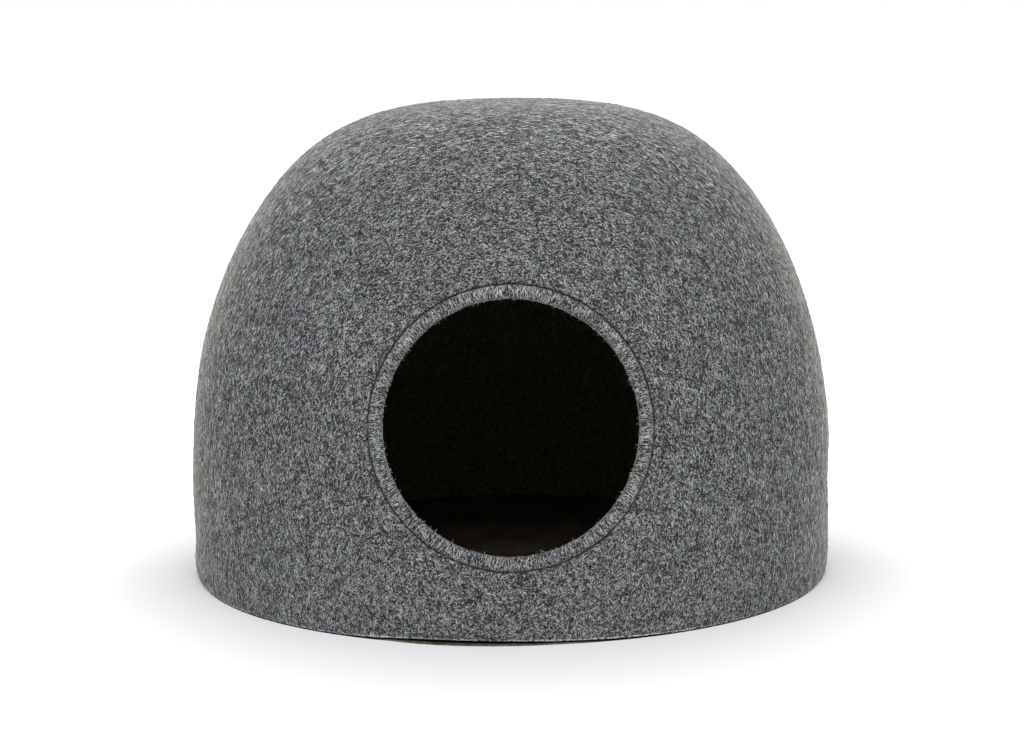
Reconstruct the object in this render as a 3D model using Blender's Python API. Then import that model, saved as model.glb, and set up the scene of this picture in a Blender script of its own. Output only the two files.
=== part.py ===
"""A felt cat cave: a moulded felt dome with a round rimmed entrance, standing round a base board.

Metres, +Z up. The origin is the middle of the footprint, on the surface that the cave stands on,
and the entrance faces -Y. Azimuths are counted from +X towards +Y.
"""

import math

import bmesh
import bpy
from mathutils import Matrix, Vector

# The dome. Its side is a superellipse that is tucked in towards the foot.
DOME_HEIGHT = 0.4134
DOME_RADIUS = 0.2997  # of the plain superellipse, before the foot is tucked in
SIDE_POWER = 3.109  # how squarely the side turns into the shoulder
CROWN_POWER = 1.941  # how flat the crown is
FOOT_TUCK = 0.0816  # share of the radius that is lost at the foot
FELT = 0.005  # thickness of the moulded felt

# Where the moulded felt stands proud of its true shape or falls short of it.
# azimuth, height, push outwards as a share of the radius, half-width in degrees, in height
UNEVEN_SPOTS = (
    (187, 0.330, -0.0090, 40, 0.044),
    (187, 0.202, 0.0049, 40, 0.051),
    (-7, 0.083, -0.0085, 32, 0.033),
    (-7, 0.398, 0.0200, 45, 0.028),
)

# The foot is cut level, but at the front the hem has lifted a little off the surface.
HEM_LIFT = 0.0030
HEM_LIFT_X = -0.055
HEM_LIFT_LEFT = 0.060  # how far the lift fades to the left of its top
HEM_LIFT_RIGHT = 0.120

# The entrance: a round hole cut square to an axis that leans upwards, and the rim set into it.
ENTRANCE_Y = -0.2607
ENTRANCE_Z = 0.1710
ENTRANCE_LEAN = math.radians(9.7)
HOLE_RADIUS = 0.1130
OPENING_RADIUS = 0.1003
RIM_DEPTH = 0.016
RIM_LIP_ROUND = 0.0075  # where the rim's face turns into the opening
RIM_SEAM_ROUND = 0.0030  # where it turns into the groove beside the dome
RIM_BACK_ROUND = 0.0020
RIM_BELOW_FELT = 0.0002  # the rim's face lies this far below the dome's

# The base board, inside the foot.
BOARD_THICKNESS = 0.008
BOARD_EDGE = 0.0010

CLEARANCE = 0.0003  # between two pieces that touch
SIDES = 80  # flat sides to a full turn, the same on every piece so that gaps stay even
HALF_SIDE = math.pi / SIDES
PROFILE_POINTS = 21


def empty_scene():
    for obj in list(bpy.data.objects):
        bpy.data.objects.remove(obj, do_unlink=True)


def plain_material(name, colour, roughness):
    material = bpy.data.materials.new(name)
    material.use_nodes = True
    shader = material.node_tree.nodes["Principled BSDF"]
    shader.inputs["Base Color"].default_value = (*colour, 1.0)
    shader.inputs["Roughness"].default_value = roughness
    shader.inputs["Metallic"].default_value = 0.0
    return material


def object_from(bm, name, material=None):
    """Turn a bmesh into a linked object, shaded smooth but for its sharp edges."""
    mesh = bpy.data.meshes.new(name)
    bm.to_mesh(mesh)
    bm.free()
    mesh.shade_smooth()
    mesh.set_sharp_from_angle(angle=math.radians(35))
    obj = bpy.data.objects.new(name, mesh)
    bpy.context.scene.collection.objects.link(obj)
    if material:
        mesh.materials.append(material)
    return obj


def true_radius(height):
    """The dome's outer radius at a height, as it was meant to be."""
    rise = min(max(height / DOME_HEIGHT, 0.0), 1.0)
    superellipse = (1 - rise**CROWN_POWER) ** (1 / SIDE_POWER)
    return DOME_RADIUS * superellipse * (1 - FOOT_TUCK * (1 - rise) ** 2)


def swell(x, y, height):
    """What the true radius is multiplied by where the felt is uneven."""
    azimuth = math.degrees(math.atan2(y, x))
    factor = 1.0
    for spot_azimuth, spot_height, push, half_turn, half_height in UNEVEN_SPOTS:
        turn = (azimuth - spot_azimuth + 180) % 360 - 180
        rise = height - spot_height
        factor += push * math.exp(-((turn / half_turn) ** 2) - (rise / half_height) ** 2)
    return factor


def outside_dome(point):
    """Whether a point lies outside the dome's outer face."""
    return point.xy.length > true_radius(point.z) * swell(*point)


def dome_profile(count):
    """Points of the true outer profile from the crown to the foot, evenly spaced along it."""
    fine = 2000
    heights = [DOME_HEIGHT * math.sin(math.pi / 2 * i / fine) for i in range(fine, -1, -1)]
    curve = [Vector((true_radius(height), 0.0, height)) for height in heights]
    along = [0.0]
    for before, after in zip(curve, curve[1:]):
        along.append(along[-1] + (after - before).length)
    points = []
    index = 0
    for step in range(count):
        wanted = along[-1] * step / (count - 1)
        while along[index] < wanted and index < fine:
            index += 1
        points.append(curve[index].copy())
    return points


def inner_profile(outer):
    """The same profile one thickness of felt further in, square to the surface."""
    inner = [outer[0] - Vector((0, 0, FELT))]
    for before, point, after in zip(outer, outer[1:], outer[2:]):
        along = (after - before).normalized()
        inner.append(point + FELT * Vector((along.z, 0, -along.x)))
    inner.append(outer[-1] - Vector((FELT, 0, 0)))
    return inner


def hem_lift(x):
    """How far the hem stands off the surface, at the front."""
    fade = HEM_LIFT_LEFT if x < HEM_LIFT_X else HEM_LIFT_RIGHT
    return HEM_LIFT * math.exp(-(((x - HEM_LIFT_X) / fade) ** 2))


def make_dome(cutter):
    """Spin the felt's section round the upright axis, make it uneven, and cut the entrance."""
    outer = dome_profile(PROFILE_POINTS)
    section = outer + inner_profile(outer)[::-1]
    bm = bmesh.new()
    verts = [bm.verts.new(point) for point in section]
    edges = [bm.edges.new(pair) for pair in zip(verts, verts[1:])]
    bmesh.ops.spin(
        bm,
        geom=verts + edges,
        axis=(0, 0, 1),
        cent=(0, 0, 0),
        angle=2 * math.pi,
        steps=SIDES,
        use_merge=True,
    )
    bmesh.ops.remove_doubles(bm, verts=bm.verts, dist=1e-6)
    bmesh.ops.recalc_face_normals(bm, faces=bm.faces)
    for vert in bm.verts:
        x, y, z = vert.co
        on_hem = z < 1e-6
        vert.co.xy *= swell(x, y, z)
        if on_hem and y < 0:
            vert.co.z = hem_lift(x)
    dome = object_from(bm, "felt_dome", plain_material("grey_felt", (0.135, 0.137, 0.142), 0.95))
    cut = dome.modifiers.new("entrance", "BOOLEAN")
    cut.operation = "DIFFERENCE"
    cut.solver = "EXACT"
    cut.object = cutter
    return dome


def make_entrance_frame():
    """An empty at the middle of the entrance, with its Z along the hole's axis, out of the cave."""
    frame = bpy.data.objects.new("entrance_frame", None)
    frame.location = (0, ENTRANCE_Y, ENTRANCE_Z)
    frame.rotation_euler = (math.pi / 2 - ENTRANCE_LEAN, 0, 0)
    bpy.context.scene.collection.objects.link(frame)
    return frame


def make_cutter(frame):
    """The round cutter that opens the front of the dome. No corner of it meets one of the dome's."""
    bm = bmesh.new()
    reach = 0.12
    bmesh.ops.create_cone(
        bm,
        cap_ends=True,
        segments=SIDES,
        radius1=HOLE_RADIUS,
        radius2=HOLE_RADIUS,
        depth=reach,
        matrix=Matrix.Rotation(HALF_SIDE, 4, "Z"),
    )
    cutter = object_from(bm, "entrance_cutter")
    cutter.parent = frame
    cutter.hide_render = True
    cutter.display_type = "WIRE"
    return cutter


def felt_above(place, x, y):
    """How far along the hole's axis the dome's outer face lies from the point x, y of its plane."""
    low, high = -0.1, 0.1
    for _ in range(40):
        middle = (low + high) / 2
        outside = outside_dome(place @ Vector((x, y, middle)))
        low, high = (low, middle) if outside else (middle, high)
    return low


def make_ring(frame):
    """Spin a square section, round its edges, and bend the ring on to the dome's curve."""
    outer = HOLE_RADIUS - CLEARANCE
    face, back = -RIM_BELOW_FELT, -RIM_DEPTH
    corners = ((OPENING_RADIUS, face), (outer, face), (outer, back), (OPENING_RADIUS, back))
    bm = bmesh.new()
    start = Matrix.Rotation(HALF_SIDE, 3, "Z")
    verts = [bm.verts.new(start @ Vector((radius, 0, depth))) for radius, depth in corners]
    edges = [bm.edges.new(pair) for pair in zip(verts, verts[1:] + verts[:1])]
    bmesh.ops.spin(
        bm,
        geom=verts + edges,
        axis=(0, 0, 1),
        cent=(0, 0, 0),
        angle=2 * math.pi,
        steps=SIDES,
        use_merge=True,
    )
    bmesh.ops.remove_doubles(bm, verts=bm.verts, dist=1e-6)
    bmesh.ops.recalc_face_normals(bm, faces=bm.faces)
    # corner radius, corner depth, width of the rounding, facets across it
    roundings = (
        (OPENING_RADIUS, face, RIM_LIP_ROUND, 4),
        (outer, face, RIM_SEAM_ROUND, 2),
        (outer, back, RIM_BACK_ROUND, 1),
        (OPENING_RADIUS, back, RIM_BACK_ROUND, 1),
    )
    for radius, depth, width, facets in roundings:
        bmesh.ops.bevel(
            bm,
            geom=[edge for edge in bm.edges if runs_round(edge, radius, depth)],
            offset=width,
            offset_type="OFFSET",
            segments=facets,
            profile=0.5,
            affect="EDGES",
            material=-1,
        )
    place = frame.matrix_world.copy()
    for vert in bm.verts:
        vert.co.z += felt_above(place, vert.co.x, vert.co.y)
    ring = object_from(bm, "entrance_ring", plain_material("rim_felt", (0.125, 0.127, 0.132), 0.95))
    ring.parent = frame
    return ring


def runs_round(edge, radius, depth):
    """Whether an edge is part of the circle of that radius at that depth."""
    ends = [vert.co for vert in edge.verts]
    return all(abs(end.z - depth) < 1e-5 and abs(end.xy.length - radius) < 1e-5 for end in ends)


def make_board():
    """A round board that stops one clearance short of the felt's inner face."""
    radius = true_radius(0) - FELT - CLEARANCE
    bm = bmesh.new()
    bmesh.ops.create_cone(
        bm,
        cap_ends=True,
        segments=SIDES,
        radius1=radius,
        radius2=radius,
        depth=BOARD_THICKNESS,
        matrix=Matrix.Translation((0, 0, BOARD_THICKNESS / 2)),
    )
    rim = [edge for edge in bm.edges if runs_round(edge, radius, BOARD_THICKNESS)]
    bmesh.ops.bevel(
        bm,
        geom=rim,
        offset=BOARD_EDGE,
        offset_type="OFFSET",
        segments=2,
        profile=0.5,
        affect="EDGES",
        material=-1,
    )
    return object_from(bm, "base_board", plain_material("brown_board", (0.022, 0.015, 0.011), 0.85))


def make_cave():
    empty_scene()
    frame = make_entrance_frame()
    bpy.context.view_layer.update()
    make_dome(make_cutter(frame))
    make_ring(frame)
    make_board()


make_cave()
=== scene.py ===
# %% [markdown]
# # A felt cat cave
#
# The cave is a stiff dome of moulded grey felt, with a round entrance at the front that is finished
# with a padded felt rim. It stands round a dark base board. This lesson dresses the plain solids of
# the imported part: it makes finer meshes in the same places, and gives them materials made of nodes.
#
# Everything is in metres with +Z up, and the entrance faces -Y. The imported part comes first, because
# each new piece takes its place and its size from it.

import math

import bmesh
import bpy
import numpy as np
from mathutils import Matrix, Vector, noise


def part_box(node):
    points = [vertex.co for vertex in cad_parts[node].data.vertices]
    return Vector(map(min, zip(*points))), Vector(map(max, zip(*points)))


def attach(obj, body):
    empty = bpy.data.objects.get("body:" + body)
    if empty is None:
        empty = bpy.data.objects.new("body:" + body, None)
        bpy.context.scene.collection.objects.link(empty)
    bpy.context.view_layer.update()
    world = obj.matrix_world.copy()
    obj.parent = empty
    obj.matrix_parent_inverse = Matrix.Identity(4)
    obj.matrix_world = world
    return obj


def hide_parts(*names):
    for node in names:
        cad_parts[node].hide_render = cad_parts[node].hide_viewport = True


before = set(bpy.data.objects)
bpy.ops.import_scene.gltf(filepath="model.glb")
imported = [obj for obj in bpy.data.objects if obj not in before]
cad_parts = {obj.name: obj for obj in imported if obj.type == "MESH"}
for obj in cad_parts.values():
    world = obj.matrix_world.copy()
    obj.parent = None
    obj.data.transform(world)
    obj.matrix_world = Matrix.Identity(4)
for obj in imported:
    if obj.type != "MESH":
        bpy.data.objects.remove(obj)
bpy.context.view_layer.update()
dome_low, dome_high = (Vector(corner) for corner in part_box("felt_dome"))
board_low, board_high = (Vector(corner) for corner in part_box("base_board"))
print("nodes:", sorted(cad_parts))
print("dome from", tuple(round(v, 4) for v in dome_low), "to", tuple(round(v, 4) for v in dome_high))

# %% [markdown]
# ## The view
#
# The camera stands a little over two metres in front of the cave and half a metre up, with a long
# lens, so that the dome looks almost undistorted and its foot shows as a shallow curve. The camera is
# turned half a degree about its own axis, as a camera held by hand would be.
#
# The light is that of a white studio: a white world that lights the felt from all round, two large
# soft lamps, one over the crown and one above the front, a weak one at each side, and a white floor
# that throws light back up on to the lower wall. The Standard view transform keeps the white at white.

# %% Camera
IMAGE_WIDTH = 1024
LOOK_AT_HEIGHT = 0.1927
CAMERA_DISTANCE = 2.248
CAMERA_ELEVATION = math.radians(8.47)
CAMERA_ROLL = math.radians(-0.57)
LENS_MM = 89.75
SHIFT_RIGHT_PX = 1.9  # of the frame, so the cave moves the other way
SHIFT_UP_PX = -23.7


def place_camera():
    camera = bpy.data.objects.new("camera", bpy.data.cameras.new("camera"))
    bpy.context.scene.collection.objects.link(camera)
    back = CAMERA_DISTANCE * math.cos(CAMERA_ELEVATION)
    up = CAMERA_DISTANCE * math.sin(CAMERA_ELEVATION)
    tilt = Matrix.Rotation(math.pi / 2 - CAMERA_ELEVATION, 4, "X")
    roll = Matrix.Rotation(CAMERA_ROLL, 4, "Z")
    camera.matrix_world = Matrix.Translation((0, -back, LOOK_AT_HEIGHT + up)) @ tilt @ roll
    camera.data.lens = LENS_MM
    camera.data.shift_x = SHIFT_RIGHT_PX / IMAGE_WIDTH
    camera.data.shift_y = SHIFT_UP_PX / IMAGE_WIDTH
    bpy.context.scene.camera = camera
    return camera


camera = place_camera()
print("camera at", tuple(round(v, 3) for v in camera.matrix_world.translation))

# %% White world, soft lamps and view transform
WORLD_WHITE = 1.0
# name: place, width across, watts
LAMPS = {
    "key_lamp": ((0.0, 0.9, 2.1), 1.6, 37.0),
    "front_lamp": ((0.0, -2.0, 2.1), 1.4, 30.0),
    "left_fill": ((-2.2, -0.6, 0.9), 1.2, 2.5),
    "right_fill": ((2.2, -0.6, 0.9), 1.2, 2.5),
}


def light_world():
    world = bpy.data.worlds.new("white_studio")
    world.use_nodes = True
    background = world.node_tree.nodes["Background"]
    background.inputs["Color"].default_value = (1.0, 1.0, 1.0, 1.0)
    background.inputs["Strength"].default_value = WORLD_WHITE
    bpy.context.scene.world = world
    bpy.context.scene.view_settings.view_transform = "Standard"


def soft_lamp(name, place, aim, size, watts):
    lamp = bpy.data.objects.new(name, bpy.data.lights.new(name, "AREA"))
    lamp.data.shape = "DISK"
    lamp.data.size = size
    lamp.data.energy = watts
    lamp.location = place
    lamp.rotation_euler = (Vector(aim) - Vector(place)).to_track_quat("-Z", "Y").to_euler()
    bpy.context.scene.collection.objects.link(lamp)
    return lamp


light_world()
middle = (0, 0, dome_high.z / 2)
lamps = [soft_lamp(name, place, middle, size, watts) for name, (place, size, watts) in LAMPS.items()]
print("lamps:", *(lamp.name for lamp in lamps))

# %% [markdown]
# ## Building with nodes
#
# A material is a tree of small nodes. A few helpers keep the trees readable. `add_node` adds a node
# and fills its inputs in one line, with a number, a colour or another node's output. `new_group`
# starts a reusable group with named sockets, and `new_material` a material that reads the Object
# coordinates, so that its pattern stays with the piece.

# %% Node helpers
FIRST_COLUMN = -900
COLUMN = 40


def fill(tree, node, inputs):
    """Set a node's inputs, each by its name or number, to a value or to a socket to link."""
    for name, value in dict(inputs).items():
        if isinstance(value, bpy.types.NodeSocket):
            tree.links.new(value, node.inputs[name])
        else:
            node.inputs[name].default_value = value


def add_node(tree, kind, inputs=(), **settings):
    """Add a node with its settings and its inputs."""
    node = tree.nodes.new(kind)
    node.location = (FIRST_COLUMN + COLUMN * len(tree.nodes), 0)
    for name, value in settings.items():
        setattr(node, name, value)
    fill(tree, node, inputs)
    return node


def sum_up(tree, operation, *values):
    """A Math node's result."""
    node = add_node(tree, "ShaderNodeMath", enumerate(values), operation=operation)
    return node.outputs[0]


def vector_sum(tree, operation, **inputs):
    """A Vector Math node, with its inputs named a, b and scale."""
    sockets = {"a": 0, "b": 1, "scale": 3}
    pairs = {sockets[name]: value for name, value in inputs.items()}
    return add_node(tree, "ShaderNodeVectorMath", pairs, operation=operation)


def ramp(tree, value, low, high, to_low=0.0, to_high=1.0):
    """Smoothly carry a value from the range low..high to to_low..to_high."""
    inputs = {"Value": value, 1: low, 2: high, 3: to_low, 4: to_high}
    node = add_node(tree, "ShaderNodeMapRange", inputs, interpolation_type="SMOOTHSTEP")
    return node.outputs[0]


def noise_texture(tree, place, scale, detail=0.0, **more):
    """A noise's outputs, Fac and Color."""
    inputs = {"Vector": place, "Scale": scale, "Detail": detail, **more}
    return add_node(tree, "ShaderNodeTexNoise", inputs).outputs


def mix_colours(tree, share, first, second):
    inputs = {"Factor": share, 6: first, 7: second}
    return add_node(tree, "ShaderNodeMix", inputs, data_type="RGBA").outputs[2]


def new_material(name):
    """Start a material: it, its tree, its shader and the Object coordinates."""
    material = bpy.data.materials.new(name)
    material.use_nodes = True
    tree = material.node_tree
    position = add_node(tree, "ShaderNodeTexCoord").outputs["Object"]
    return material, tree, tree.nodes["Principled BSDF"], position


def new_group(name, inputs, outputs):
    """Start a node group. inputs gives name, socket type and default, and outputs name and type."""
    group = bpy.data.node_groups.new(name, "ShaderNodeTree")
    for socket_name, socket_type, default in inputs:
        socket = group.interface.new_socket(socket_name, in_out="INPUT", socket_type=socket_type)
        if default is not None:
            socket.default_value = default
    for socket_name, socket_type in outputs:
        group.interface.new_socket(socket_name, in_out="OUTPUT", socket_type=socket_type)
    return group, group.nodes.new("NodeGroupInput").outputs, group.nodes.new("NodeGroupOutput").inputs


FLOAT = "NodeSocketFloat"
COLOR = "NodeSocketColor"
VECTOR = "NodeSocketVector"

# %% [markdown]
# ## Felt, from one layer of strands
#
# Felt is matted wool: thousands of short curly fibres, light and dark, that lie flat in every
# direction and cross each other.
#
# One layer of the pattern copies that. A slow noise gives every place a direction, and the cross
# product with the surface's normal lays that direction in the surface. A fine noise is then read at
# several places along the direction, and the readings are averaged. What differs across the direction
# stays, and what differs along it is smeared out. So the specks become strands that wander with the
# slow noise. Everything is three-dimensional, so there is no seam.
#
# The Comb vector turns the strands away from itself: they tend to lie square to it in the surface.

# %% Node group: a layer of strands
STEPS_EACH_WAY = 3  # places read on each side of the middle one
END_WEIGHT = 0.5  # what the outermost place counts, against the middle one
SEED_ASIDE = 1.7  # each seed shifts the pattern by its own amount, this many times as far along Y
SEED_UP = 0.31
MIDDLE_GREY = (0.5, 0.5, 0.5)


def make_strand_layer():
    inputs = (
        ("Position", VECTOR, None),
        ("Normal", VECTOR, None),
        ("Comb", VECTOR, None),
        ("Strand Width", FLOAT, 0.0004),
        ("Strand Length", FLOAT, 0.003),
        ("Curl Size", FLOAT, 0.006),
        ("Softness", FLOAT, 0.20),
        ("Seed", FLOAT, 0.0),
    )
    group, given, result = new_group("strand_layer", inputs, (("Strand", FLOAT),))
    seed = given["Seed"]
    steps = {0: seed, 1: sum_up(group, "MULTIPLY", seed, SEED_ASIDE), 2: SEED_UP}
    seed_step = add_node(group, "ShaderNodeCombineXYZ", steps).outputs[0]
    seeded = vector_sum(group, "ADD", a=given["Position"], b=seed_step).outputs[0]

    # a direction in the surface
    curl_scale = sum_up(group, "DIVIDE", 1.0, given["Curl Size"])
    wander = noise_texture(group, seeded, curl_scale)["Color"]
    wander = vector_sum(group, "SUBTRACT", a=wander, b=MIDDLE_GREY).outputs[0]
    wander = vector_sum(group, "ADD", a=wander, b=given["Comb"]).outputs[0]
    across = vector_sum(group, "CROSS_PRODUCT", a=given["Normal"], b=wander).outputs[0]
    along = vector_sum(group, "NORMALIZE", a=across).outputs[0]
    half_length = sum_up(group, "MULTIPLY", given["Strand Length"], 0.5)
    along = vector_sum(group, "SCALE", a=along, scale=half_length).outputs[0]

    # the fine noise, averaged along that direction
    fine_scale = sum_up(group, "DIVIDE", 0.5, given["Strand Width"])
    average = None
    weights = 0.0
    for step in range(-STEPS_EACH_WAY, STEPS_EACH_WAY + 1):
        weight = 1.0 - (1.0 - END_WEIGHT) * abs(step) / STEPS_EACH_WAY
        shift = vector_sum(group, "SCALE", a=along, scale=step / STEPS_EACH_WAY).outputs[0]
        place = vector_sum(group, "ADD", a=seeded, b=shift).outputs[0]
        speck = noise_texture(group, place, fine_scale)["Fac"]
        part = sum_up(group, "MULTIPLY", speck, weight)
        average = part if average is None else sum_up(group, "ADD", average, part)
        weights += weight
    average = sum_up(group, "DIVIDE", average, weights)
    off_middle = sum_up(group, "DIVIDE", sum_up(group, "SUBTRACT", average, 0.5), given["Softness"])
    strand = ramp(group, off_middle, -1.0, 1.0)
    group.links.new(strand, result["Strand"])
    return group


strand_layer = make_strand_layer()
print("group", strand_layer.name, "with", len(strand_layer.nodes), "nodes")

# %% [markdown]
# ## Felt, from several layers
#
# The melange is made of two layers of strands, long ones over short ones, and a fine grain. A third
# layer of coarse strands comes in on the flanks and the crown, where the surface turns away from the
# front: the strands add to the felt's pattern and, as painted light and shade, stand in for the raised
# fuzz seen at a slant, and their height adds to the bump. A slow noise makes the soft mottling that
# shows from a step away, and a slower one tints patches of the grey a little cooler or warmer, because
# the wool is a blend of dyed fibres. Both are a little stronger at the dome's two sides.

# %% Node group: felt melange
# name: strand width, strand length, curl size, softness, seed
STRAND_LAYERS = {
    "long": (0.00044, 0.0030, 0.0036, 0.20, 0.0),
    "short": (0.00034, 0.0018, 0.0024, 0.20, 3.1),
    # the coarse strands are partly painted light and shade of the raised fuzz, where the surface turns
    # from the front
    "coarse": (0.00070, 0.0056, 0.0062, 0.19, 5.3),
}
# what each texture adds to the lightness, from darkest to lightest
LIGHTNESS_SHARES = {
    "long": 0.69,
    "short": 0.60,
    "grain": 1.20,
    "mottle": 0.44,
    "coarse": 1.00,
}
FINE_LEFT = 0.92  # what is left of the fine layers where the coarse one is full
MOTTLE_MORE = 1.30  # how much stronger the mottle is at the sides
GRAIN_SCALE = 1000.0
GRAIN_DETAIL = 1.0
MOTTLE_SCALE = 120.0
MOTTLE_DETAIL = 2.0
MOTTLE_ROUGHNESS = 0.6
COARSE_RELIEF = 1.0  # the height of the coarse strands, against the grain's
TINT_SCALE = 75.0
TINT_DETAIL = 2.0
TINT_STRENGTH = (0.09, 0.20)  # at the front and at the sides


def make_felt_melange():
    inputs = (
        ("Position", VECTOR, None),
        ("Normal", VECTOR, None),
        ("Comb", VECTOR, None),
        ("Dark", COLOR, (0.02, 0.0205, 0.0205, 1.0)),
        ("Light", COLOR, (0.50, 0.513, 0.511, 1.0)),
        ("Level", FLOAT, 0.15),
        ("Contrast", FLOAT, 1.0),
        ("Coarse", FLOAT, 0.0),
        ("Aside", FLOAT, 0.0),
        ("Grain", FLOAT, 1.0),
        ("Size", FLOAT, 1.0),
    )
    group, given, result = new_group("felt_melange", inputs, (("Color", COLOR), ("Height", FLOAT)))
    larger = sum_up(group, "DIVIDE", 1.0, given["Size"])
    place = vector_sum(group, "SCALE", a=given["Position"], scale=larger).outputs[0]

    sockets = ("Strand Width", "Strand Length", "Curl Size", "Softness", "Seed")
    textures = {}
    shared = {"Position": place, "Normal": given["Normal"], "Comb": given["Comb"]}
    for name, values in STRAND_LAYERS.items():
        layer_inputs = {**shared, **dict(zip(sockets, values))}
        layer = add_node(group, "ShaderNodeGroup", layer_inputs, node_tree=strand_layer)
        textures[name] = layer.outputs["Strand"]
    textures["grain"] = noise_texture(group, place, GRAIN_SCALE, GRAIN_DETAIL)["Fac"]
    mottle = noise_texture(group, place, MOTTLE_SCALE, MOTTLE_DETAIL, Roughness=MOTTLE_ROUGHNESS)
    textures["mottle"] = mottle["Fac"]

    fine_share = ramp(group, given["Coarse"], 0.0, 1.0, 1.0, FINE_LEFT)
    grain_share = sum_up(group, "MULTIPLY", fine_share, given["Grain"])
    mottle_more = ramp(group, given["Aside"], 0.0, 1.0, 1.0, MOTTLE_MORE)
    mottle_share = sum_up(group, "MULTIPLY", fine_share, mottle_more)
    weights = {"coarse": given["Coarse"], "grain": grain_share, "mottle": mottle_share}
    centred = None
    for name, share in LIGHTNESS_SHARES.items():
        part = sum_up(group, "MULTIPLY_ADD", textures[name], share, -share / 2)
        weighted = sum_up(group, "MULTIPLY", part, weights.get(name, fine_share))
        centred = weighted if centred is None else sum_up(group, "ADD", centred, weighted)
    scaled = sum_up(group, "MULTIPLY", centred, given["Contrast"])
    lightness = sum_up(group, "ADD", scaled, given["Level"])
    clipped = add_node(group, "ShaderNodeClamp", {0: lightness}).outputs[0]
    grey = mix_colours(group, clipped, given["Dark"], given["Light"])

    # patches of cooler and warmer grey
    tint_noise = noise_texture(group, place, TINT_SCALE, TINT_DETAIL)["Color"]
    tint_share = ramp(group, given["Aside"], 0.0, 1.0, *TINT_STRENGTH)
    tint = mix_colours(group, tint_share, (*MIDDLE_GREY, 1.0), tint_noise)
    doubled = vector_sum(group, "SCALE", a=tint, scale=2.0).outputs[0]
    tinted = vector_sum(group, "MULTIPLY", a=grey, b=doubled).outputs[0]
    group.links.new(tinted, result["Color"])
    coarse_height = sum_up(group, "MULTIPLY", textures["coarse"], given["Coarse"])
    height = sum_up(group, "MULTIPLY_ADD", coarse_height, COARSE_RELIEF, textures["grain"])
    group.links.new(height, result["Height"])
    return group


felt_melange = make_felt_melange()
print("group", felt_melange.name, "with", len(felt_melange.nodes), "nodes")

# %% Felt materials
FRONT_TO_FLANK = (0.28, 0.82)  # how square to the front the surface is, at the flank and before it
FRONT_TO_SIDE = (0.20, 0.75)  # how square to the side it is, at the front and past it
FELT_BUMP = 0.35
FELT_BUMP_HEIGHT = 0.0006
FELT_FINISH = {
    "Roughness": 0.95,
    "Specular IOR Level": 0.15,
    "Sheen Weight": 0.26,
    "Sheen Roughness": 0.26,
    "Sheen Tint": (1.0, 0.94, 0.82, 1.0),
}


def felt_material(name, dark, light, level, contrast=1.0, comb=(0, 0, 0)):
    """A matt fuzzy felt, from its darkest and lightest wool."""
    material, tree, shader, position = new_material(name)
    normal = add_node(tree, "ShaderNodeNewGeometry").outputs["Normal"]
    to_front = vector_sum(tree, "DOT_PRODUCT", a=normal, b=(0, 1, 0)).outputs["Value"]
    to_side = vector_sum(tree, "DOT_PRODUCT", a=normal, b=(1, 0, 0)).outputs["Value"]
    inputs = {
        "Position": position,
        "Normal": normal,
        "Comb": comb,
        "Dark": (*dark, 1.0),
        "Light": (*light, 1.0),
        "Level": level,
        "Contrast": contrast,
        "Coarse": ramp(tree, sum_up(tree, "ABSOLUTE", to_front), *FRONT_TO_FLANK, 1.0, 0.0),
        "Aside": ramp(tree, sum_up(tree, "ABSOLUTE", to_side), *FRONT_TO_SIDE),
    }
    felt = add_node(tree, "ShaderNodeGroup", inputs, node_tree=felt_melange).outputs
    bump = {"Strength": FELT_BUMP, "Distance": FELT_BUMP_HEIGHT, "Height": felt["Height"]}
    relief = add_node(tree, "ShaderNodeBump", bump).outputs["Normal"]
    fill(tree, shader, {"Base Color": felt["Color"], "Normal": relief, **FELT_FINISH})
    return material


def felt_in(material):
    """A felt material's tree, its melange node, and the coordinates that the node reads."""
    tree = material.node_tree
    felt = next(node for node in tree.nodes if node.type == "GROUP")
    return tree, felt, felt.inputs["Position"].links[0].from_socket


print("a felt's finish:", FELT_FINISH)

# %% The felts of the dome
DARK_WOOL = (0.016, 0.0165, 0.0165)
LIGHT_WOOL = (0.475, 0.487, 0.485)
# painted shade: the inside of the wall is a dark brown felt, for the shade inside the cave
INSIDE_DARK = (0.02, 0.017, 0.010)
INSIDE_LIGHT = (0.38, 0.31, 0.18)
INSIDE_LEVEL = 0.13
INSIDE_CONTRAST = 0.4
ROUND_THE_FRONT = (0, 0.35, 0)
DOME_LEVEL = 0.104
FOOT_PAINTED_LIGHT_LEVEL = 0.160  # painted light: the felt is made lighter towards the hem, to lift the shade near the floor
FOOT_FADE = 0.15


def paint_light_at_foot(material):
    """Paint light on the felt near the floor, from the height of the point."""
    tree, felt, position = felt_in(material)
    height = add_node(tree, "ShaderNodeSeparateXYZ", {"Vector": position}).outputs["Z"]
    fill(tree, felt, {"Level": ramp(tree, height, 0.0, FOOT_FADE, FOOT_PAINTED_LIGHT_LEVEL, DOME_LEVEL)})


dome_felt = felt_material("grey_dome_felt", DARK_WOOL, LIGHT_WOOL, DOME_LEVEL, 1.0, ROUND_THE_FRONT)
paint_light_at_foot(dome_felt)
# the inner face's felt is painted shade, darker than the outer grey
inner_wall_painted_shade = felt_material(
    "inside_felt_painted_shade", INSIDE_DARK, INSIDE_LIGHT, INSIDE_LEVEL, INSIDE_CONTRAST
)
print("felts:", dome_felt.name, inner_wall_painted_shade.name)

# %% The felt of the cut hem, with a painted highlight
CUT_DARK = (0.03, 0.032, 0.036)
CUT_LIGHT = (0.58, 0.62, 0.68)
CUT_CONTRAST = 2.2
HEM_PLAIN = 0.12
HEM_PAINTED_HIGHLIGHT = 0.55  # painted highlight: the cut is painted light only where the hem stands off the floor, at the front
# where along X, and how far back, the hem turns from plain to the painted highlight or back again
HIGHLIGHT_FROM_LEFT = (-0.155, -0.110)
HIGHLIGHT_TO_RIGHT = (0.110, 0.190)
HIGHLIGHT_TO_BACK = (-0.12, -0.05)


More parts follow.
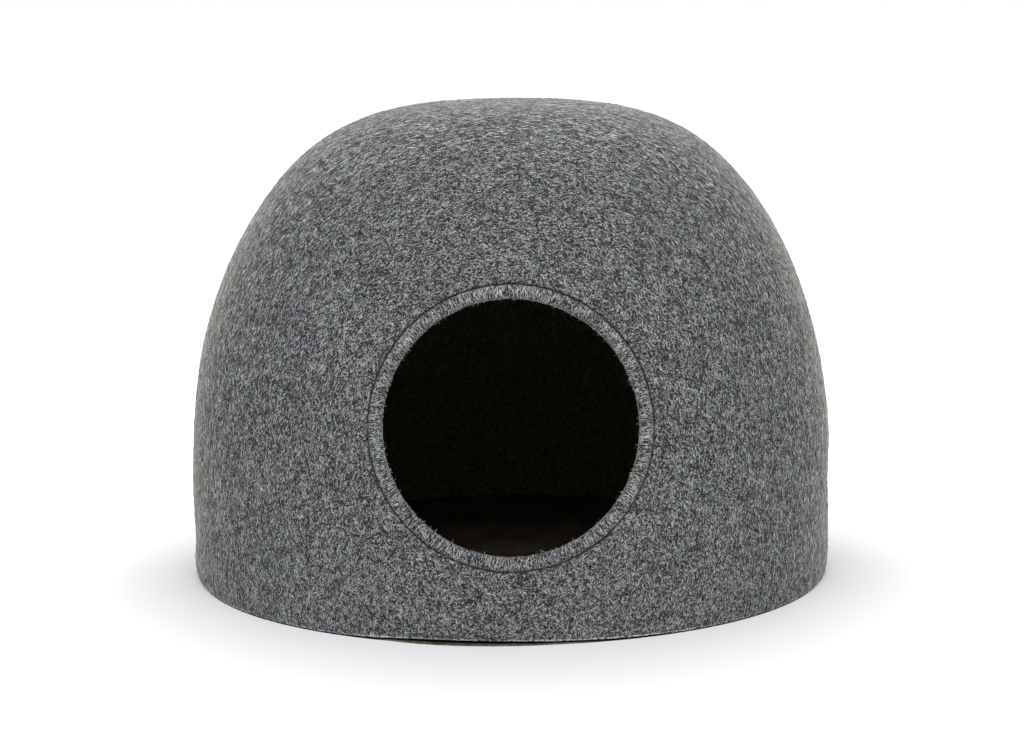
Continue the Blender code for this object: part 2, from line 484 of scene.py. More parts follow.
def paint_highlight_on_lifted_hem(material):
    """Paint a highlight on the lifted hem: the felt's lightness is set from where the point is along
    the hem.
    """
    tree, felt, position = felt_in(material)
    place = add_node(tree, "ShaderNodeSeparateXYZ", {"Vector": position}).outputs
    from_left = ramp(tree, place["X"], *HIGHLIGHT_FROM_LEFT)
    to_right = ramp(tree, place["X"], *HIGHLIGHT_TO_RIGHT, 1.0, 0.0)
    in_front = ramp(tree, place["Y"], *HIGHLIGHT_TO_BACK, 1.0, 0.0)
    lifted = sum_up(tree, "MULTIPLY", sum_up(tree, "MULTIPLY", from_left, to_right), in_front)
    fill(tree, felt, {"Level": ramp(tree, lifted, 0.0, 1.0, HEM_PLAIN, HEM_PAINTED_HIGHLIGHT)})


hem_felt_with_highlight = felt_material("cut_hem_felt_painted_highlight", CUT_DARK, CUT_LIGHT, HEM_PAINTED_HIGHLIGHT, CUT_CONTRAST)
paint_highlight_on_lifted_hem(hem_felt_with_highlight)
print("hem's felt:", hem_felt_with_highlight.name)

# %% [markdown]
# ## The dome's shape
#
# The dome is a shape of revolution whose side is a superellipse, tucked in a little towards the foot.
# The numbers below are the ones that the solid part was made from, so the finer mesh lies on it. Four
# wide, shallow spots make the moulded felt as uneven as the real one, and three more, of 1 to 3 mm,
# stand for wear.

# %% The true shape of the dome
DOME_HEIGHT = dome_high.z
DOME_RADIUS = 0.2997
SIDE_POWER = 3.109
CROWN_POWER = 1.941
FOOT_TUCK = 0.0816
FELT = 0.005
# azimuth, height, push outwards as a share of the radius, half-width in degrees, in height
UNEVEN_SPOTS = (
    (187, 0.330, -0.0090, 40, 0.044),
    (187, 0.202, 0.0049, 40, 0.051),
    (-7, 0.083, -0.0085, 32, 0.033),
    (-7, 0.398, 0.0200, 45, 0.028),
)
# the worn felt bulges a little more than the solid: along its right side, and at the foot's two sides
WORN_SPOTS = (
    (0, 0.170, 0.0036, 50, 0.150),
    (183, 0.012, 0.0120, 18, 0.017),
    (-3, 0.012, 0.0070, 18, 0.017),
)
ENTRANCE_LEAN = math.radians(9.7)
ENTRANCE_MIDDLE = Vector((0, -0.2607, 0.1710))
HOLE_RADIUS = 0.1130
OPENING_RADIUS = 0.1003
SEARCH_REACH = 0.13  # how far on either side of the entrance's plane the dome's face is looked for
SEARCH_HALVINGS = 40


def true_radius(height):
    rise = min(max(height / DOME_HEIGHT, 0.0), 1.0)
    superellipse = (1 - rise**CROWN_POWER) ** (1 / SIDE_POWER)
    return DOME_RADIUS * superellipse * (1 - FOOT_TUCK * (1 - rise) ** 2)


def swell(x, y, height):
    """What the true radius is multiplied by where the felt is uneven."""
    azimuth = math.degrees(math.atan2(y, x))
    factor = 1.0
    for spot_azimuth, spot_height, push, half_turn, half_height in UNEVEN_SPOTS + WORN_SPOTS:
        turn = (azimuth - spot_azimuth + 180) % 360 - 180
        rise = height - spot_height
        factor += push * math.exp(-((turn / half_turn) ** 2) - (rise / half_height) ** 2)
    return factor


entrance_place = Matrix.Translation(ENTRANCE_MIDDLE) @ Matrix.Rotation(
    math.pi / 2 - ENTRANCE_LEAN, 4, "X"
)
entrance_out = entrance_place.to_3x3() @ Vector((0, 0, 1))


def dome_surface(x, y):
    """The point of the dome's outer face that lies over the point x, y of the entrance's plane."""
    low, high = -SEARCH_REACH, SEARCH_REACH
    for _ in range(SEARCH_HALVINGS):
        middle = (low + high) / 2
        point = entrance_place @ Vector((x, y, middle))
        outside = point.xy.length > true_radius(point.z) * swell(*point)
        low, high = (low, middle) if outside else (middle, high)
    return entrance_place @ Vector((x, y, low))


print("widest radius", round(max(true_radius(z / 1000) for z in range(300)), 4))

# %% [markdown]
# ## The dome's mesh
#
# The dome starts as one curve from the crown to the foot, spun round the upright axis. A mesh that is
# simply cut with a round hole gets long thin faces round the cut, which catch the light badly. So a
# block of faces is taken out at the front instead, and its square edge is bridged to a circle of as
# many corners. The new faces run evenly from the one to the other, and are then laid on the dome.
#
# The wall is the same surface again, turned round and moved in by the thickness of the felt, with its
# edges bridged to the outer ones. The felt's lumps, a fifth of a millimetre high, are real relief.

# %% Spin a profile
WELD = 1e-6  # corners this close become one
CLOSE = 1e-5  # places this close count as the same


def spin_profile(points, steps, closed=False):
    """Spin a line of points, or a closed outline, round the upright axis."""
    bm = bmesh.new()
    verts = [bm.verts.new(point) for point in points]
    ends = verts[1:] + verts[:1] if closed else verts[1:]
    edges = [bm.edges.new(pair) for pair in zip(verts, ends)]
    bmesh.ops.spin(
        bm,
        geom=verts + edges,
        axis=(0, 0, 1),
        cent=(0, 0, 0),
        angle=2 * math.pi,
        steps=steps,
        use_merge=True,
    )
    bmesh.ops.remove_doubles(bm, verts=bm.verts, dist=WELD)
    bmesh.ops.recalc_face_normals(bm, faces=bm.faces)
    return bm


print("corners are joined within", WELD, "m")

# %% Spin the dome and open it
PROFILE_FINE = 4000  # steps along the curve, from which the rows are chosen
DOME_STEPS = 320
DOME_ROWS = 112
BLOCK_HALF_TURN = math.radians(28.7)
BLOCK_LOW = 0.036
BLOCK_HIGH = 0.300
BAND_CUTS = 6


def dome_profile(count):
    """Points of the true profile from the crown to the foot, evenly spaced along it."""
    steps = range(PROFILE_FINE, -1, -1)
    heights = [DOME_HEIGHT * math.sin(math.pi / 2 * step / PROFILE_FINE) for step in steps]
    curve = [Vector((true_radius(height), 0.0, height)) for height in heights]
    along = [0.0]
    for before, after in zip(curve, curve[1:]):
        along.append(along[-1] + (after - before).length)
    points = []
    index = 0
    for step in range(count):
        while along[index] < along[-1] * step / (count - 1) and index < PROFILE_FINE:
            index += 1
        points.append(curve[index].copy())
    return points


def spin_dome():
    bm = spin_profile(dome_profile(DOME_ROWS), DOME_STEPS)
    for vert in bm.verts:
        vert.co.xy *= swell(*vert.co)
    return bm


def near_hem(edge):
    return max(vert.co.z for vert in edge.verts) < BLOCK_LOW / 2


def in_block(point):
    in_front = point.y < 0 and abs(point.x) < -point.y * math.tan(BLOCK_HALF_TURN)
    return in_front and BLOCK_LOW < point.z < BLOCK_HIGH


def open_entrance(bm):
    """Take out the block, bridge its edge to the circle of the hole, and lay the bridge on the dome."""
    block = [face for face in bm.faces if in_block(face.calc_center_median())]
    bmesh.ops.delete(bm, geom=block, context="FACES")
    square = [edge for edge in bm.edges if edge.is_boundary and not near_hem(edge)]
    circle = bmesh.ops.create_circle(
        bm, cap_ends=False, radius=HOLE_RADIUS, segments=len(square), matrix=entrance_place
    )["verts"]
    ring = list(dict.fromkeys(edge for vert in circle for edge in vert.link_edges))
    bridge = bmesh.ops.bridge_loops(bm, edges=square + ring)
    spokes = [edge for edge in bridge["edges"] if edge not in set(square + ring)]
    bmesh.ops.subdivide_edges(bm, edges=spokes, cuts=BAND_CUTS, use_grid_fill=True)
    back = entrance_place.inverted()
    for vert in bm.verts:
        if in_block(vert.co):
            flat = back @ vert.co
            vert.co = dome_surface(flat.x, flat.y)
    bmesh.ops.recalc_face_normals(bm, faces=bm.faces)
    return len(square)


dome_mesh = spin_dome()
corners_round = open_entrance(dome_mesh)
print("outer face:", len(dome_mesh.faces), "faces,", corners_round, "corners round the hole")

# %% Relief and wall
OUTER_FELT, INNER_FELT, HEM_EDGE = 0, 1, 2  # the dome's material slots
HEM_LIFT = 0.0032
HEM_LIFT_X = -0.055
HEM_LIFT_LEFT = 0.060
HEM_LIFT_RIGHT = 0.140
HEM_CLEAR = 0.0003
HEM_UNEVEN = 0.00022
HEM_WAVE = 0.0035
HEM_ZONE = 0.0012  # points this low belong to the hem
LEAST_SLANT = 0.5  # limits how far the wall is drawn out where the hole cuts it at a slant
LUMP_SIZE = 0.014
LUMP_HEIGHT = 0.00022
FINE_LUMP_SIZE = 0.45  # of the slow lumps' size
FINE_LUMP_SHARE = 0.6  # of the slow lumps' height
FINE_LUMP_PLACE = Vector((7, 3, 5))  # read elsewhere in the noise, so the two don't line up


def hem_lift(x):
    """How far the hem stands off the floor, at the front."""
    fade = HEM_LIFT_LEFT if x < HEM_LIFT_X else HEM_LIFT_RIGHT
    return HEM_LIFT * math.exp(-(((x - HEM_LIFT_X) / fade) ** 2))


def hem_height(point):
    """The cut is a little uneven, and hangs just clear of the floor all the way round."""
    lifted = hem_lift(point.x) if point.y < 0 else 0.0
    return max(lifted, HEM_CLEAR) + HEM_UNEVEN * (1 + noise.noise(point / HEM_WAVE))


def rim_of_hole(vert):
    flat = entrance_place.inverted() @ vert.co
    return vert.co.y < 0 and abs(flat.xy.length - HOLE_RADIUS) < 10 * CLOSE


def give_wall(bm):
    """Turn a copy of the outer face round, move it in, and bridge the two at the hem and the hole."""
    bm.normal_update()
    outer = list(bm.verts)
    normals = [vert.normal.copy() for vert in outer]
    on_hole = [vert.is_boundary and rim_of_hole(vert) for vert in outer]
    on_hem = [vert.is_boundary and vert.co.z < CLOSE for vert in outer]
    outer_edges = [edge for edge in bm.edges if edge.is_boundary]
    everything = list(bm.verts) + list(bm.edges) + list(bm.faces)
    copied = bmesh.ops.duplicate(bm, geom=everything)
    twin = copied["vert_map"]
    for vert, normal, hole, hem in zip(outer, normals, on_hole, on_hem):
        inner = twin[vert]
        if hole:
            inner.co -= entrance_out * (FELT / max(normal.dot(entrance_out), LEAST_SLANT))
        elif hem:
            inner.co -= Vector((normal.x, normal.y, 0)).normalized() * FELT
        else:
            inner.co -= normal * FELT
            inner.co.z = max(inner.co.z, 0.0)
    inner_faces = [item for item in copied["geom"] if isinstance(item, bmesh.types.BMFace)]
    bmesh.ops.reverse_faces(bm, faces=inner_faces)
    for face in inner_faces:
        face.material_index = INNER_FELT
    known = set(outer_edges)
    inner_edges = [edge for edge in bm.edges if edge.is_boundary and edge not in known]
    for wanted in (True, False):
        loops = [edge for edge in outer_edges + inner_edges if near_hem(edge) is wanted]
        for face in bmesh.ops.bridge_loops(bm, edges=loops)["faces"]:
            face.material_index = OUTER_FELT
    return outer, normals


def lump(point):
    """The felt's own unevenness at a point, from slow and fast noise, about -1 to 1."""
    slow = noise.noise(point / LUMP_SIZE)
    fast = noise.noise(point / (LUMP_SIZE * FINE_LUMP_SIZE) + FINE_LUMP_PLACE)
    return slow + FINE_LUMP_SHARE * fast


def raise_relief(outer, normals):
    for vert, normal in zip(outer, normals):
        vert.co += normal * (LUMP_HEIGHT * lump(vert.co))


outer_verts, outer_normals = give_wall(dome_mesh)
raise_relief(outer_verts, outer_normals)
for vert in dome_mesh.verts:
    if vert.co.z < HEM_ZONE:
        vert.co.z = hem_height(vert.co)
open_edges = [edge for edge in dome_mesh.edges if edge.is_boundary]
print("whole wall:", len(dome_mesh.faces), "faces,", len(open_edges), "open edges")

# %% Round the cut edges and keep the mesh
SHARP = math.radians(50)
CUT_ROUND = 0.0018
CUT_FACETS = 3
CUT_BAND = 0.01  # the hem's rounding lies below this height


def is_sharp(edge):
    return len(edge.link_faces) == 2 and edge.calc_face_angle() > SHARP


def round_edges(bm, edges, width, facets):
    """Bevel edges with a round profile. The new faces come back."""
    return bmesh.ops.bevel(
        bm,
        geom=edges,
        offset=width,
        offset_type="OFFSET",
        segments=facets,
        profile=0.5,
        affect="EDGES",
        material=-1,
    )["faces"]


def finish_mesh(bm, name, materials):
    """Make a smooth-shaded object of a bmesh, at the origin."""
    mesh = bpy.data.meshes.new(name)
    bm.to_mesh(mesh)
    bm.free()
    mesh.shade_smooth()
    for material in materials:
        mesh.materials.append(material)
    piece = bpy.data.objects.new(name, mesh)
    bpy.context.scene.collection.objects.link(piece)
    return piece


def round_cut_edges(bm):
    """Round the hem and the hole, and give the hem's outer rounding the cut felt with its painted
    highlight.
    """
    sharp = [edge for edge in bm.edges if is_sharp(edge)]
    halfway = true_radius(0) - FELT / 2
    for face in round_edges(bm, sharp, CUT_ROUND, CUT_FACETS):
        middle = face.calc_center_median()
        if middle.z < CUT_BAND and middle.xy.length > halfway:
            face.material_index = HEM_EDGE


round_cut_edges(dome_mesh)
dome = finish_mesh(dome_mesh, "dome", (dome_felt, inner_wall_painted_shade, hem_felt_with_highlight))
print("dome:", len(dome.data.polygons), "faces")

# %% [markdown]
# ## The entrance rim
#
# The rim is a ring of felt stretched over a round core: proud in the middle, turned down into a narrow
# groove beside the dome, and rolled over into the opening. It starts as a section with four corners,
# spun round the entrance's axis. Wide bevels round its corners, its face is swelled in the middle, and
# then each point slides along the axis until the ring follows the dome's curve. A last fine noise
# roughens it.
#
# The felt is pulled across the rim, so its fibres run from the groove into the opening. The material
# works out the direction that runs along the rim, and combs the strands square to it. The groove
# itself is darkened, because hardly any light gets into it.

# %% Ring mesh
RING_STEPS = 480
RIM_CLEARANCE = 0.0005
RIM_OPENING = OPENING_RADIUS + 0.0010  # worn a little wider
RIM_DEPTH = 0.016
RIM_PROUD = 0.0012
RIM_BEAD = 0.0014
RIM_LIP_ROUND = 0.0066
RIM_SEAM_ROUND = 0.0042
RIM_BACK_ROUND = 0.0025
RIM_GRAIN = 0.0016
RIM_ROUGH = 0.00042
RIM_SLOW_GRAIN = 2.6  # times the grain's size
RIM_SLOW_SHARE = 0.5  # of the grain's height


def runs_round(edge, radius, depth):
    """Whether an edge is part of the circle of that radius at that depth."""
    ends = [vert.co for vert in edge.verts]
    return all(abs(end.z - depth) < CLOSE and abs(end.xy.length - radius) < CLOSE for end in ends)


def spin_rim():
    outer = HOLE_RADIUS - RIM_CLEARANCE
    face, back = RIM_PROUD, -RIM_DEPTH
    corners = ((RIM_OPENING, face), (outer, face), (outer, back), (RIM_OPENING, back))
    bm = spin_profile([(radius, 0, depth) for radius, depth in corners], RING_STEPS, closed=True)
    # corner radius, corner depth, width of the rounding, facets across it
    roundings = (
        (RIM_OPENING, face, RIM_LIP_ROUND, 9),
        (outer, face, RIM_SEAM_ROUND, 6),
        (outer, back, RIM_BACK_ROUND, 3),
        (RIM_OPENING, back, RIM_BACK_ROUND, 3),
    )
    for radius, depth, width, facets in roundings:
        edges = [edge for edge in bm.edges if runs_round(edge, radius, depth)]
        round_edges(bm, edges, width, facets)
    return bm


def round_the_bead(bm):
    """Swell the face of the ring in the middle, as felt does over a round core."""
    width = HOLE_RADIUS - RIM_CLEARANCE - RIM_OPENING
    for vert in bm.verts:
        across = min(max((vert.co.xy.length - RIM_OPENING) / width, 0.0), 1.0)
        near_face = min(max(1 + (vert.co.z - RIM_PROUD) / RIM_LIP_ROUND, 0.0), 1.0)
        vert.co.z += RIM_BEAD * math.sin(math.pi * across) * near_face


def bend_on_to_dome(bm):
    for vert in bm.verts:
        on_dome = dome_surface(vert.co.x, vert.co.y)
        vert.co = on_dome + entrance_out * vert.co.z


def roughen_rim(bm):
    """Make the wrapped felt a little uneven."""
    bm.normal_update()
    for vert in bm.verts:
        slow = noise.noise(vert.co / (RIM_GRAIN * RIM_SLOW_GRAIN))
        rough = noise.noise(vert.co / RIM_GRAIN) + RIM_SLOW_SHARE * slow
        vert.co += vert.normal * (RIM_ROUGH * rough)


ring_mesh = spin_rim()
round_the_bead(ring_mesh)
bend_on_to_dome(ring_mesh)
roughen_rim(ring_mesh)
bmesh.ops.recalc_face_normals(ring_mesh, faces=ring_mesh.faces)
print("ring:", len(ring_mesh.faces), "faces")

# %% Ring material: the melange, combed across
COMB_STRENGTH = 1.3
RIM_STRAND_SIZE = 1.15
RIM_GRAIN_SHARE = 0.6
RIM_LEVEL = 0.19
RIM_CONTRAST = 1.1
GROOVE_SHADE = 0.34  # what is left of the colour at the bottom of the groove
GROOVE_WALLS = (HOLE_RADIUS - 0.0019, HOLE_RADIUS - 0.0007)  # where the shade starts and is full


def combed_felt(name, dark, light, level, contrast):
    """Felt whose strands run across the rim, darker where it turns down into the groove."""
    material = felt_material(name, dark, light, level, contrast)
    tree, felt, position = felt_in(material)
    from_middle = vector_sum(tree, "SUBTRACT", a=position, b=ENTRANCE_MIDDLE).outputs[0]
    round_rim = vector_sum(tree, "CROSS_PRODUCT", a=entrance_out, b=from_middle).outputs[0]
    direction = vector_sum(tree, "NORMALIZE", a=round_rim).outputs[0]
    comb = vector_sum(tree, "SCALE", a=direction, scale=COMB_STRENGTH).outputs[0]
    fill(tree, felt, {"Comb": comb, "Grain": RIM_GRAIN_SHARE, "Size": RIM_STRAND_SIZE})
    tree.links.remove(felt.inputs["Coarse"].links[0])

    off_axis = vector_sum(tree, "LENGTH", a=round_rim).outputs["Value"]
    groove = ramp(tree, off_axis, *GROOVE_WALLS, 1.0, GROOVE_SHADE)
    shaded = vector_sum(tree, "SCALE", a=felt.outputs["Color"], scale=groove).outputs[0]
    fill(tree, tree.nodes["Principled BSDF"], {"Base Color": shaded})
    return material


rim_felt = combed_felt("combed_rim_felt", DARK_WOOL, LIGHT_WOOL, RIM_LEVEL, RIM_CONTRAST)
ring = finish_mesh(ring_mesh, "rim", (rim_felt,))
print("rim material:", rim_felt.name)

# %% [markdown]
# ## The base board
#
# The dome stands round a flat dark brown board. Only two parts of it ever show: its face, deep in the
# cave, and its foot, as a thin brown band where the hem has lifted at the front. There the board has a
# thin lip that reaches out under the hem. The board is a profile spun round, with the lip's points
# then drawn outwards as far as the hem is lifted. Its upright edge lies deep under the hem, so the
# material leaves it almost black, and only the face and the lip are brown.

# %% Board material
BOARD_RADIUS = (board_high.x - board_low.x) / 2
DARK_BROWN = (0.044, 0.032, 0.019, 1.0)
LIGHT_BROWN = (0.176, 0.138, 0.090, 1.0)
BROWN_SPREAD = (0.36, 0.64)  # the blend of noises that gives the one brown and the other
FLECK_SCALE = 420.0
FLECK_DETAIL = 3.0
CLOUD_SCALE = 28.0
CLOUD_DETAIL = 2.0
CLOUD_SHARE = 0.4
FACE_SHADE = 0.70  # what is left of the colour on the board's face, inside the cave
EDGE_SHADE = 0.08  # what is left of the colour on the board's upright edge, deep under the hem
# how far from the board's middle its face turns into the edge, and the edge into the lip
FACE_TO_EDGE = (BOARD_RADIUS - 0.006, BOARD_RADIUS - 0.002)
EDGE_TO_LIP = (BOARD_RADIUS + 0.002, BOARD_RADIUS + 0.005)
BOARD_BUMP = {"Strength": 0.3, "Distance": 0.0003}
BOARD_ROUGHNESS = (0.3, 0.7, 0.75, 0.9)  # the flecks' low and high, and the roughness there
BOARD_SPECULAR = 0.2


def board_material():
    material, tree, shader, position = new_material("pressed_brown_board")
    flecks = noise_texture(tree, position, FLECK_SCALE, FLECK_DETAIL)["Fac"]
    clouds = noise_texture(tree, position, CLOUD_SCALE, CLOUD_DETAIL)["Fac"]
    fleck_part = sum_up(tree, "MULTIPLY", flecks, 1 - CLOUD_SHARE)
    blend = sum_up(tree, "MULTIPLY_ADD", clouds, CLOUD_SHARE, fleck_part)
    brown = mix_colours(tree, ramp(tree, blend, *BROWN_SPREAD), DARK_BROWN, LIGHT_BROWN)
    level = vector_sum(tree, "MULTIPLY", a=position, b=(1, 1, 0)).outputs[0]
    from_middle = vector_sum(tree, "LENGTH", a=level).outputs["Value"]
    face = ramp(tree, from_middle, *FACE_TO_EDGE, FACE_SHADE, EDGE_SHADE)
    lip = ramp(tree, from_middle, *EDGE_TO_LIP, EDGE_SHADE, 1.0)
    shade = sum_up(tree, "MAXIMUM", face, lip)
    finish = {
        "Base Color": vector_sum(tree, "SCALE", a=brown, scale=shade).outputs[0],
        "Roughness": ramp(tree, flecks, *BOARD_ROUGHNESS),
        "Normal": add_node(tree, "ShaderNodeBump", {**BOARD_BUMP, "Height": flecks}).outputs["Normal"],
        "Specular IOR Level": BOARD_SPECULAR,
    }
    fill(tree, shader, finish)
    return material


board_brown = board_material()
print("board material:", board_brown.name)

# %% Board mesh
BOARD_STEPS = 256
BOARD_EDGE = 0.0008
BOARD_SHARP = math.radians(40)
LIP_START = 0.0002
LIP_HEIGHT = 0.0011
LIP_REACH = 0.0076
LIP_FROM = 0.38  # how far the hem has to be lifted, as a share, before the lip shows


def make_board():
    radius = BOARD_RADIUS
    thickness = board_high.z - board_low.z
    corners = (
        (0, thickness),
        (radius - BOARD_EDGE, thickness),
        (radius, thickness - BOARD_EDGE),
        (radius, LIP_START),
        (radius + LIP_START, LIP_START),
        (radius + LIP_START, 0),
        (0, 0),
    )
    bm = spin_profile([(across, 0, height) for across, height in corners], BOARD_STEPS)
    for vert in bm.verts:
        lifted = hem_lift(vert.co.x) if vert.co.y < 0 else 0.0
        share = min(max((lifted / HEM_LIFT - LIP_FROM) / (1 - LIP_FROM), 0.0), 1.0) ** 0.5
        under_hem = vert.co.xy.length > radius - CLOSE
        if under_hem and CLOSE < vert.co.z < LIP_START + CLOSE:
            vert.co.z = LIP_START + share * LIP_HEIGHT
        if vert.co.xy.length > radius + CLOSE:
            vert.co.xy *= 1 + share * LIP_REACH / radius
    return finish_mesh(bm, "board", (board_brown,))


board = make_board()
board.data.set_sharp_from_angle(angle=BOARD_SHARP)
print("board:", len(board.data.polygons), "faces")

# %% [markdown]
# ## Stray fibres
#
# Real wool never lies quite flat. A sprinkling of light and dark fibres lies on the felt, curled and
# slightly raised, with a few long coarse ones among them, and fine hairs stick out at the entrance and
# along the hem. Each one is a closed tube of three sides and three lengths. Thousands of them are
# worked out together as arrays, and joined in one mesh for each colour.
#
# Their places are drawn by chance from the triangles of the dome and the rim. The triangles are first
# sorted by where they are, because the mesh operators may number them differently on each run.

# %% Places for the fibres
SORT_SPAN = 1 << 17  # more steps than the cave has across
NO_LENGTH = 1e-12  # keeps a division off zero


def set_order(triangles):
    """Sort triangles by where they are, and turn each to start at its first corner in that order."""
    steps = np.round(triangles / CLOSE).astype(np.int64) + SORT_SPAN // 2
    codes = (steps[..., 2] * SORT_SPAN + steps[..., 1]) * SORT_SPAN + steps[..., 0]
    rows = np.arange(len(triangles))[:, None]
    turned = (codes.argmin(axis=1)[:, None] + np.arange(3)) % 3
    codes = codes[rows, turned]
    order = np.lexsort((codes[:, 2], codes[:, 1], codes[:, 0]))
    return triangles[rows, turned][order], order


def scatter(rng, mesh, count, keep):
    """Random points on a mesh and their normals, spread by area over the triangles that are kept."""
    mesh.calc_loop_triangles()
    coordinates = np.empty(len(mesh.vertices) * 3, "f")
    mesh.vertices.foreach_get("co", coordinates)
    coordinates = coordinates.reshape(-1, 3)
    corners = np.empty(len(mesh.loop_triangles) * 3, "i")
    mesh.loop_triangles.foreach_get("vertices", corners)
    triangles, order = set_order(coordinates[corners.reshape(-1, 3)])
    slots = np.empty(len(mesh.loop_triangles), "i")
    mesh.loop_triangles.foreach_get("material_index", slots)
    slots = slots[order]
    first, second = triangles[:, 1] - triangles[:, 0], triangles[:, 2] - triangles[:, 0]
    crossed = np.cross(first, second)
    doubled_area = np.linalg.norm(crossed, axis=1)
    normals = crossed / np.maximum(doubled_area, NO_LENGTH)[:, None]
    chance = doubled_area * keep(triangles.mean(axis=1), normals, slots)
    picked = rng.choice(len(triangles), count, p=chance / chance.sum())
    u, v = rng.random((2, count, 1))
    folded = u + v > 1
    u, v = np.where(folded, 1 - u, u), np.where(folded, 1 - v, v)
    points = triangles[picked, 0] + u * first[picked] + v * second[picked]
    return points, normals[picked]


def unit(vectors):
    return vectors / np.maximum(np.linalg.norm(vectors, axis=-1, keepdims=True), NO_LENGTH)


print("fibres are placed on", dome.name, "and", ring.name)

# %% Tubes from arrays
FIBRE_POINTS = 4
TUBE_SIDES = 3
SUNK = 0.00005  # how deep a lying fibre's ends are in the felt
# least and most, as shares of what is asked for
LYING_LENGTHS = (0.6, 1.4)
LYING_RISES = (0.3, 1.0)
HAIR_LENGTHS = (0.3, 1.0)
RADII = (0.7, 1.3)
HAIR_SHORTNESS = 1.5  # above 1, more of the hairs are short than long
HAIR_LEAN = 0.45


def tube_mesh(name, lines, up, radii):
    """Closed tubes along lines of points. up is square to each line, and radii go with its points."""
    along = unit(np.gradient(lines, axis=1))
    side = unit(np.cross(along, up[:, None, :]))
    lift = np.cross(side, along)
    turns = np.radians(90 + 360 / TUBE_SIDES * np.arange(TUBE_SIDES))
    offsets = np.cos(turns)[:, None] * side[:, :, None] + np.sin(turns)[:, None] * lift[:, :, None]
    verts = lines[:, :, None, :] + offsets * radii[:, :, None, None]
    quads = []
    for point in range(FIBRE_POINTS - 1):
        for corner in range(TUBE_SIDES):
            low = point * TUBE_SIDES
            high = low + TUBE_SIDES
            after = (corner + 1) % TUBE_SIDES
            quads.append((low + corner, low + after, high + after, high + corner))
    last = (FIBRE_POINTS - 1) * TUBE_SIDES
    caps = [tuple(reversed(range(TUBE_SIDES))), tuple(range(last, last + TUBE_SIDES))]
    step = (np.arange(len(lines)) * FIBRE_POINTS * TUBE_SIDES)[:, None, None]
    faces = (np.array(quads) + step).reshape(-1, 4).tolist()
    faces += (np.array(caps) + step).reshape(-1, TUBE_SIDES).tolist()
    mesh = bpy.data.meshes.new(name)
    mesh.from_pydata(verts.reshape(-1, 3).tolist(), [], faces)
    mesh.shade_smooth()
    return mesh


def lying_fibres(rng, points, normals, length, rise, curl):
    """Lines that start in the felt, arch over it in a random direction and end in it again."""
    count = len(points)
    direction = unit(np.cross(normals, rng.normal(size=(count, 3))))
    sideways = np.cross(normals, direction)
    along = np.linspace(-0.5, 0.5, FIBRE_POINTS)
    lengths = length * rng.uniform(*LYING_LENGTHS, (count, 1))
    bends = curl * rng.normal(size=(count, 1))
    waves = curl * rng.normal(size=(count, 1))
    arch = 1 - (2 * along) ** 2
    heights = rise * rng.uniform(*LYING_RISES, (count, 1)) * arch - SUNK
    aside = bends * arch + waves * np.sin(2 * np.pi * along)
    lines = points[:, None, :] + direction[:, None, :] * (lengths * along)[:, :, None]
    lines = lines + sideways[:, None, :] * aside[:, :, None]
    return lines + normals[:, None, :] * heights[:, :, None]


def loose_hairs(rng, points, outwards, length, curl):
    """Lines that grow out of the felt, each with its own lean and bend."""
    count = len(points)
    direction = unit(outwards + HAIR_LEAN * rng.normal(size=(count, 3)))
    sideways = unit(np.cross(direction, rng.normal(size=(count, 3))))
    along = np.linspace(0, 1, FIBRE_POINTS)
    lengths = length * rng.uniform(*HAIR_LENGTHS, (count, 1)) ** HAIR_SHORTNESS
    bends = curl * rng.uniform(-1, 1, (count, 1)) * along**2
    lines = points[:, None, :] + direction[:, None, :] * (lengths * along)[:, :, None]
    return lines + sideways[:, None, :] * bends[:, :, None], sideways


def fibre_radii(rng, count, radius, tip):
    taper = 1 - (1 - tip) * np.abs(np.linspace(-1, 1, FIBRE_POINTS)) ** 2
    return radius * rng.uniform(*RADII, (count, 1)) * taper


print("each fibre has", FIBRE_POINTS, "points and", TUBE_SIDES, "sides")

# %% Fibre materials
# name: darker and lighter wool
FIBRE_COLOURS = {
    "light_wool_fibre": ((0.24, 0.25, 0.25, 1.0), (0.58, 0.60, 0.60, 1.0)),
    "dark_wool_fibre": ((0.008, 0.008, 0.008, 1.0), (0.036, 0.037, 0.037, 1.0)),
}
SHADE_SCALE = 180.0
SHADE_SPREAD = (0.35, 0.65)  # the noise that gives the darker and the lighter wool
FIBRE_ROUGHNESS = (0.3, 0.7, 0.7, 0.85)  # the noise's low and high, and the roughness there
FIBRE_SPECULAR = 0.2


def fibre_material(name):
    """A plain wool fibre. Slow noise makes each one a little lighter or darker than the next."""
    material, tree, shader, position = new_material(name)
    shade = noise_texture(tree, position, SHADE_SCALE)["Fac"]
    finish = {
        "Base Color": mix_colours(tree, ramp(tree, shade, *SHADE_SPREAD), *FIBRE_COLOURS[name]),
        "Roughness": ramp(tree, shade, *FIBRE_ROUGHNESS),
        "Specular IOR Level": FIBRE_SPECULAR,
    }
    fill(tree, shader, finish)
    return material


light_wool, dark_wool = (fibre_material(name) for name in FIBRE_COLOURS)
print("fibre materials:", light_wool.name, dark_wool.name)

# %% Where fibres may lie
OFF_FLOOR = 0.002
LEAST_UP = -0.35  # how far a face may look down and still carry lying fibres
LEAST_UP_AT_HEM = -0.8
LEAST_OUT = 0.2  # how far a face of the rim has to look out of the entrance
LIP_WIDTH = 0.003
LIP_FACING = (0.1, 0.8)  # least and most that the rim's lip looks out of the entrance


def outer_felt(middles, normals, slots):
    """Keep the felt's outer face, and nothing under the hem."""
    return (slots != INNER_FELT) * (middles[:, 2] > OFF_FLOOR) * (normals[:, 2] > LEAST_UP)


def rim_face(middles, normals, slots):
    return normals @ np.array(entrance_out) > LEAST_OUT


